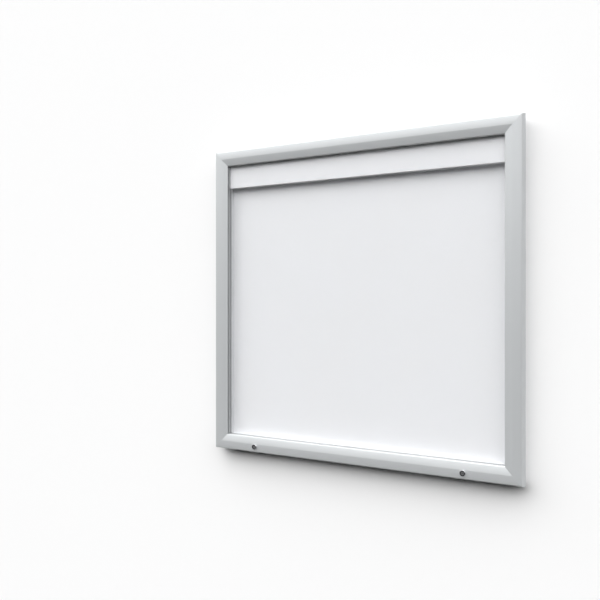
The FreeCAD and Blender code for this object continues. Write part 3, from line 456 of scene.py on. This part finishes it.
def bead_section():
    """The closed outline of a glazing bead as (inset, depth) points."""
    outline = [
        (RAIL_WIDTH, DOOR_BACK),
        (RAIL_WIDTH, BEAD_FRONT),
        (BEAD_LIP, BEAD_FRONT),
        (BEAD_LIP, BEAD_FRONT - BEAD_WALL),
        (RAIL_WIDTH - BEAD_WALL, BEAD_FRONT - BEAD_WALL),
        (RAIL_WIDTH - BEAD_WALL, DOOR_BACK + BEAD_WALL),
        (CHANNEL_EDGE + BEAD_WALL, DOOR_BACK + BEAD_WALL),
        (CHANNEL_EDGE + BEAD_WALL, TONGUE[1]),
        (TONGUE_END, TONGUE[1]),
        (TONGUE_END, TONGUE[0]),
        (CHANNEL_EDGE, TONGUE[0]),
        (CHANNEL_EDGE, DOOR_BACK),
    ]
    points = [Vector(point) for point in outline]
    for corner, radius, steps in BEAD_ROUNDS:
        points = soften(points, corner, radius, steps)
    return points


for side, (way, half_length, place) in RAILS.items():
    piece_from(f"bead_{side}", rail_mesh(bead_section(), half_length, place),
               bead_metal[way], "door", "anodised_aluminium", f"glazing_bead_{side}")


# Small screws: a pan head with a six-sided socket on a threaded shank
SCREW_STEPS = 24
SCREW_PITCH = 0.55 * MM
# Radius and height of a head, radius and length of a shank
HEAD = (2.0 * MM, 1.1 * MM)
SHANK = (1.2 * MM, 4.0 * MM)
CAM_HEAD = 2.9 * MM
CAM_SHANK = (1.5 * MM, 8.0 * MM)
# Shares of the head's radius: half width of the socket, and start of the rounded shoulder
SOCKET_FLAT, SHOULDER = 0.42, 0.58
# Shares of the head's height: floor of the socket, and foot of the shoulder
SOCKET_FLOOR, SHOULDER_FOOT = 0.25, 0.3
# Shares of the shank's radius: root of the thread, and tip
THREAD_ROOT, TIP = 0.82, 0.7
# Corner radius and half width of the six-sided heads in the CAD
HEX_CORNER = 2.3 * MM
HEX_FLAT = HEX_CORNER * math.cos(math.pi / 6)
KEEPER_SCREW_PITCH = 20.0 * MM


def six_sided(angle, flat):
    """Distance from the centre to a hexagon of this half width, at an angle."""
    return flat / math.cos((angle + math.pi / 6) % (math.pi / 3) - math.pi / 6)


def screw_profile(head, height, shank, length):
    """(radius, height over the seat) pairs from the rim of the socket round to the end of the shank."""
    profile = [(head * SHOULDER, height)]
    for step in range(1, 7):
        angle = math.radians(90 - 15 * step)
        profile.append((head * (SHOULDER + (1 - SHOULDER) * math.cos(angle)),
                        height * (SHOULDER_FOOT + (1 - SHOULDER_FOOT) * math.sin(angle))))
    profile += [(head, 0.0), (shank, 0.0)]
    for number in range(int(length * 0.9 / SCREW_PITCH)):
        profile += [(shank * THREAD_ROOT, -(number + 0.5) * SCREW_PITCH),
                    (shank, -(number + 0.9) * SCREW_PITCH)]
    profile.append((shank * TIP, -length))
    return profile


def screws(seats, out, head, height, shank, length):
    """Screws with their heads towards out. seats are the points under the heads."""
    out = Vector(out)
    across = out.orthogonal().normalized()
    beside = out.cross(across)
    angles = [2 * math.pi * step / SCREW_STEPS for step in range(SCREW_STEPS)]
    socket = [six_sided(angle, head * SOCKET_FLAT) for angle in angles]
    rings = [(socket, height * SOCKET_FLOOR), (socket, height)]
    for radius, level in screw_profile(head, height, shank, length):
        rings.append(([radius] * SCREW_STEPS, level))

    def fill(working):
        for seat in seats:
            made = []
            for radii, level in rings:
                made.append([])
                for angle, radius in zip(angles, radii):
                    flatways = across * math.cos(angle) + beside * math.sin(angle)
                    made[-1].append(working.verts.new(Vector(seat) + flatways * radius + out * level))
            for first, second in zip(made, made[1:]):
                band(working, first, second)
            working.faces.new(made[0])
            working.faces.new(made[-1])
    return fill


def spread(low, high, radius, count):
    """Centres of screws in a row, from the ends of their heads."""
    first, last = low + radius, high - radius
    return [first + (last - first) * number / (count - 1) for number in range(count)]


def four_corners(low, high):
    """Centres of four screws, as (x, z), from the box round their heads."""
    return [(x, z) for x in (low.x + HEX_CORNER, high.x - HEX_CORNER)
            for z in (low.z + HEX_FLAT, high.z - HEX_FLAT)]


low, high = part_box("hinge_screws_case")
piece_from("hinge_screws_top", screws(
    [(x, middle(low.y, high.y), high.z - HEAD[1]) for x in spread(low.x, high.x, HEX_CORNER, 4)],
    (0, 0, 1), *HEAD, *SHANK), bright_steel["x"], "case", "stainless_steel", "hinge_screws_case")
low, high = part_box("hinge_screws_door")
piece_from("hinge_screws_back", screws(
    [(x, high.y - HEAD[1], middle(low.z, high.z)) for x in spread(low.x, high.x, HEX_CORNER, 4)],
    (0, 1, 0), *HEAD, *SHANK), bright_steel["x"], "door", "stainless_steel", "hinge_screws_door")
low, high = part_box("keeper_screws")
outer = high.x - HEX_CORNER
inner = outer - KEEPER_SCREW_PITCH
piece_from("keeper_screw_set", screws(
    [(x, middle(low.y, high.y), low.z + HEAD[1]) for x in (-outer, -inner, inner, outer)],
    (0, 0, -1), *HEAD, SHANK[0], high.z - low.z - HEAD[1]),
    bright_steel["x"], "case", "stainless_steel", "keeper_screws")
low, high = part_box("stay_track_screws")
piece_from("track_screw_set", screws(
    [(x, low.y + HEAD[1], z) for x, z in four_corners(low, high)],
    (0, -1, 0), *HEAD, SHANK[0], high.y - low.y - HEAD[1]),
    bright_steel["z"], "case", "stainless_steel", "stay_track_screws")
low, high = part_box("stay_bracket_screws")
piece_from("bracket_screw_set", screws(
    [(x, high.y - HEAD[1], z) for x, z in four_corners(low, high)],
    (0, 1, 0), *HEAD, *SHANK), bright_steel["z"], "door", "stainless_steel", "stay_bracket_screws")
for side in ("left", "right"):
    low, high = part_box(f"cam_screw_{side}")
    piece_from(f"cam_bolt_{side}", screws(
        [(middle(low.x, high.x), high.y - HEAD[1], middle(low.z, high.z))],
        (0, 1, 0), CAM_HEAD, HEAD[1], *CAM_SHANK), bright_steel["x"], f"lock_{side}",
        "stainless_steel", f"cam_screw_{side}")


# Locks
LOCK_STEPS, PLUG_STEPS = 96, 64
HEAD_LENGTH, HEAD_OVERLAP = 4.6 * MM, 1.0 * MM
RIM_ROUND, DISH_INSET, DISH = 1.0 * MM, 1.5 * MM, 0.06 * MM
BORE_PLAY, BORE_ROUND, BORE_DROP, BORE_EDGE = 0.04 * MM, 0.2 * MM, 0.3 * MM, 0.45 * MM
PLAIN_BARREL = 9.0 * MM
LOCK_PITCH, LOCK_THREAD, BARREL_END = 0.75 * MM, 0.32 * MM, 0.3 * MM
PLUG_BEVEL = 0.3 * MM
# Half height, half width and depth
KEYWAY = (0.5 * MM, 2.3 * MM, 3.0 * MM)


def circle(working, centre, radius, depth, steps):
    """A ring of new vertices about an axis along Y."""
    ring = []
    for step in range(steps):
        angle = 2 * math.pi * step / steps
        ring.append(working.verts.new((centre[0] + radius * math.cos(angle), -depth,
                                       centre[1] + radius * math.sin(angle))))
    return ring


def turned(profile, centre):
    """A turned piece about an axis along Y. profile is (radius, depth) pairs; it closes on itself."""
    def fill(working):
        rings = [circle(working, centre, radius, depth, LOCK_STEPS) for radius, depth in profile]
        for ring, after in zip(rings, rings[1:] + rings[:1]):
            band(working, ring, after)
    return fill


def quarter(centre, radius, start, finish, steps=6):
    """Points of a round between two angles in degrees, as (radius, depth)."""
    points = []
    for step in range(steps + 1):
        angle = math.radians(start + (finish - start) * step / steps)
        points.append((centre[0] + radius * math.cos(angle), centre[1] + radius * math.sin(angle)))
    return points


def lock_profile(low, high, bore):
    """Head with a rounded rim and a slightly dished face, then a threaded barrel."""
    front, back = -low.y, -high.y
    head = (high.x - low.x) / 2
    barrel = head - HEAD_OVERLAP
    seat = front - HEAD_LENGTH
    thread_front = seat - PLAIN_BARREL
    profile = [(bore, back), (bore, front - BORE_EDGE)]
    profile += quarter((bore + BORE_ROUND, front - BORE_DROP), BORE_ROUND, 180, 90, 4)
    profile += [(head - DISH_INSET, front - DISH)]
    profile += quarter((head - RIM_ROUND, front - RIM_ROUND), RIM_ROUND, 90, 0)
    profile += [(head, seat), (barrel, seat), (barrel, thread_front)]
    for number in range(int((thread_front - back) / LOCK_PITCH)):
        top = thread_front - number * LOCK_PITCH
        profile += [(barrel - LOCK_THREAD, top - LOCK_PITCH * 0.45), (barrel, top - LOCK_PITCH * 0.9)]
    profile.append((barrel - BARREL_END, back))
    return profile


def plug_mesh(low, high, centre):
    """A turned plug with a bevelled face and a keyway cut into it."""
    radius = (high.x - low.x) / 2
    front, back = -low.y, -high.y
    corners = [(1, 1), (-1, 1), (-1, -1), (1, -1)]

    def edges_of(working, ring):
        return [working.edges.get(pair) for pair in zip(ring, ring[1:] + ring[:1])]

    def fill(working):
        outline = [(radius, back), (radius, front - PLUG_BEVEL), (radius - PLUG_BEVEL, front)]
        rings = [circle(working, centre, reach, depth, PLUG_STEPS) for reach, depth in outline]
        for outer, inner in zip(rings, rings[1:]):
            band(working, outer, inner)
        working.faces.new(rings[0])
        mouth, floor = [
            [working.verts.new((centre[0] + KEYWAY[1] * across, -depth, centre[1] + KEYWAY[0] * up))
             for across, up in corners] for depth in (front, front - KEYWAY[2])]
        band(working, mouth, floor)
        working.faces.new(floor)
        edges = edges_of(working, rings[2]) + edges_of(working, mouth)
        bmesh.ops.triangle_fill(working, edges=edges, use_beauty=True)
    return fill


LOCKS = {}
for side in ("left", "right"):
    low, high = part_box(f"lock_housing_{side}")
    plug_low, plug_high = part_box(f"lock_plug_{side}")
    centre = (middle(low.x, high.x), middle(low.z, high.z))
    bore = (plug_high.x - plug_low.x) / 2 + BORE_PLAY
    LOCKS[side] = (plug_low, plug_high, centre)
    piece_from(f"lock_head_{side}", turned(lock_profile(low, high, bore), centre),
               lock_metal, "door", "lock_nickel", f"lock_housing_{side}")
for side, lock in LOCKS.items():
    piece_from(f"lock_core_{side}", plug_mesh(*lock),
               plug_metal, f"lock_{side}", "lock_plug", f"lock_plug_{side}")


# Room: one wall, which is seen from its front only, and a floor
def where_seen(tree):
    """1 for a ray that looks, straight or by way of gloss or glass, and 0 for one that gathers light."""
    path = tree.nodes.new("ShaderNodeLightPath")
    straight = tree.nodes.new("ShaderNodeMath")
    seen = tree.nodes.new("ShaderNodeMath")
    seen.use_clamp = True
    link(tree, path.outputs["Is Camera Ray"], straight.inputs[0])
    link(tree, path.outputs["Is Transmission Ray"], straight.inputs[1])
    link(tree, straight.outputs["Value"], seen.inputs[0])
    link(tree, path.outputs["Is Glossy Ray"], seen.inputs[1])
    return seen.outputs["Value"]


def backdrop_material(name, shown, bounced):
    """A plain matt grey, shown where it is looked at or mirrored and bounced where it sends on light."""
    material, tree, shader = new_material(name)
    shader.inputs["Roughness"].default_value = 1.0
    shader.inputs["Specular IOR Level"].default_value = 0.0
    grain = noise(tree, PLASTER, 2.0)
    tones = (shown,) * 3, (shown * 0.995,) * 3
    tone = tree.nodes.new("ShaderNodeMix")
    tone.data_type = "RGBA"
    tone.inputs["A"].default_value = (bounced, bounced, bounced, 1.0)
    link(tree, where_seen(tree), tone.inputs["Factor"])
    link(tree, tinted(tree, grain, *tones), tone.inputs["B"])
    link(tree, tone.outputs["Result"], shader.inputs["Base Color"])
    return material, tree, shader


def plane(name, size, location, rotation, material):
    """A square of the room."""
    mesh = bpy.data.meshes.new(name)
    half = size / 2
    corners = [(-half, -half, 0), (half, -half, 0), (half, half, 0), (-half, half, 0)]
    mesh.from_pydata(corners, [], [(0, 1, 2, 3)])
    mesh.materials.append(material)
    thing = bpy.data.objects.new(name, mesh)
    bpy.context.scene.collection.objects.link(thing)
    thing.location = location
    thing.rotation_euler = rotation
    return thing


WALL_SIZE, FLOOR_SIZE, FLOOR_LEVEL = 14.0, 4.8, -1.45
WALL_GAP = 0.4 * MM
# Level that is shown and level that is bounced
WALL_LEVELS, FLOOR_LEVELS = (0.892, 0.34), (0.29, 0.005)
wall_material, wall_tree, wall_shader = backdrop_material("wall", *WALL_LEVELS)
sides = wall_tree.nodes.new("ShaderNodeNewGeometry")
nothing = wall_tree.nodes.new("ShaderNodeBsdfTransparent")
one_sided = wall_tree.nodes.new("ShaderNodeMixShader")
link(wall_tree, sides.outputs["Backfacing"], one_sided.inputs["Fac"])
link(wall_tree, wall_shader.outputs["BSDF"], one_sided.inputs[1])
link(wall_tree, nothing.outputs["BSDF"], one_sided.inputs[2])
link(wall_tree, one_sided.outputs["Shader"], wall_tree.nodes["Material Output"].inputs["Surface"])
wall = plane("wall", WALL_SIZE, (0, WALL_GAP, FLOOR_LEVEL + WALL_SIZE / 2), (math.radians(90), 0, 0),
             wall_material)
wall.visible_shadow = False
floor_material, _, _ = backdrop_material("floor", *FLOOR_LEVELS)
plane("floor", FLOOR_SIZE, (0, 0, FLOOR_LEVEL), (0, 0, 0), floor_material)


# Light: a sky that is bright above and dark below, and a little brighter at the left.
# Each pair is an elevation in degrees and a level.
SKY = [(-90, 0.0), (12, 0.0), (25, 3.41), (50, 3.84), (90, 2.6)]
# What is seen of it, straight or mirrored: a pale ground below and white above
SEEN = [(-90, 0.65), (0, 0.70), (25, 2.03), (50, 3.10), (90, 2.6)]
SKY_TOP = 4.0
LEFT_SHARE = 0.14
world = bpy.data.worlds.new("studio")
bpy.context.scene.world = world
world.use_nodes = True
tree = world.node_tree
tree.nodes.remove(tree.nodes["Background"])
place = tree.nodes.new("ShaderNodeTexCoord")
split = tree.nodes.new("ShaderNodeSeparateXYZ")
height = tree.nodes.new("ShaderNodeMapRange")
height.inputs["From Min"].default_value = -1.0
height.inputs["From Max"].default_value = 1.0
side = tree.nodes.new("ShaderNodeMath")
side.operation = "MULTIPLY_ADD"
side.inputs[1].default_value = -LEFT_SHARE * SKY_TOP
side.inputs[2].default_value = SKY_TOP
link(tree, place.outputs["Generated"], split.inputs["Vector"])
link(tree, split.outputs["Z"], height.inputs["Value"])
link(tree, split.outputs["X"], side.inputs[0])


def sky(levels):
    """A background from (elevation in degrees, level) pairs."""
    ramp = tree.nodes.new("ShaderNodeValToRGB")
    stops = ramp.color_ramp.elements
    for angle, level in levels[1:-1]:
        stop = stops.new((math.sin(math.radians(angle)) + 1) / 2)
        stop.color = (level / SKY_TOP,) * 3 + (1.0,)
    stops[0].color = (levels[0][1] / SKY_TOP,) * 3 + (1.0,)
    stops[-1].color = (levels[-1][1] / SKY_TOP,) * 3 + (1.0,)
    shader = tree.nodes.new("ShaderNodeBackground")
    link(tree, height.outputs["Result"], ramp.inputs["Fac"])
    link(tree, ramp.outputs["Color"], shader.inputs["Color"])
    link(tree, side.outputs["Value"], shader.inputs["Strength"])
    return shader.outputs["Background"]


choose = tree.nodes.new("ShaderNodeMixShader")
link(tree, where_seen(tree), choose.inputs["Fac"])
link(tree, sky(SKY), choose.inputs[1])
link(tree, sky(SEEN), choose.inputs[2])
link(tree, choose.outputs["Shader"], tree.nodes["World Output"].inputs["Surface"])


# A wide lamp high in front of the board, which points at its middle
LAMP_PLACE = Vector((-0.8, -4.2, 10.0))
LAMP_SIZE = (5.0, 2.4)
LAMP_POWER = 119
lamp_data = bpy.data.lights.new("overhead", "AREA")
lamp_data.shape = "RECTANGLE"
lamp_data.size, lamp_data.size_y = LAMP_SIZE
lamp_data.energy = LAMP_POWER
lamp = bpy.data.objects.new("overhead", lamp_data)
bpy.context.scene.collection.objects.link(lamp)
lamp.location = LAMP_PLACE
lamp.rotation_euler = (-LAMP_PLACE).to_track_quat("-Z", "Y").to_euler()


# Camera, level with the board
CAMERA_PLACE = (0.798, -1.536, 0.0)
CAMERA_YAW = math.radians(31.85)
camera_data = bpy.data.cameras.new("camera")
camera_data.lens = 45.0
camera_data.sensor_width = 36.0
camera = bpy.data.objects.new("camera", camera_data)
bpy.context.scene.collection.objects.link(camera)
camera.location = CAMERA_PLACE
camera.rotation_euler = (math.radians(90), 0, CAMERA_YAW)
bpy.context.scene.camera = camera
bpy.context.scene.view_settings.view_transform = "Standard"
